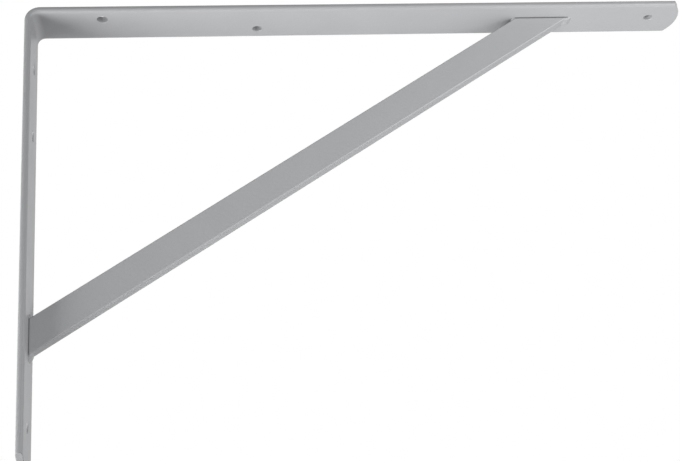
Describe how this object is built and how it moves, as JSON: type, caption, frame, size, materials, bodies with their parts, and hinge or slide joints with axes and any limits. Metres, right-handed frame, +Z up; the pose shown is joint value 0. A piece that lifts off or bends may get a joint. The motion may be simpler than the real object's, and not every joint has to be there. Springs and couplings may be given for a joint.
{
  "type": "shelf bracket",
  "caption": "Welded steel shelf bracket: a flat bar bent to a right angle and stiffened by a diagonal flat-bar brace, with screw holes in both arms.",
  "frame": {"origin": "axis of the top wall hole, on the face that lies against the wall, at the middle of the strap's width", "axes": "+X away from the wall, along the shelf arm; +Y along the wall; +Z up, out of the face that carries the shelf"},
  "size_m": [0.5, 0.038, 0.34],
  "materials": {
    "grey_paint": "satin grey powder coat over steel"
  },
  "bodies": {
    "root": {"angle_strap": "grey_paint", "brace_bar": "grey_paint", "foot_weld_upper": "grey_paint", "foot_weld_lower": "grey_paint", "head_weld_inner": "grey_paint", "head_weld_outer": "grey_paint"}
  },
  "joints": []
}
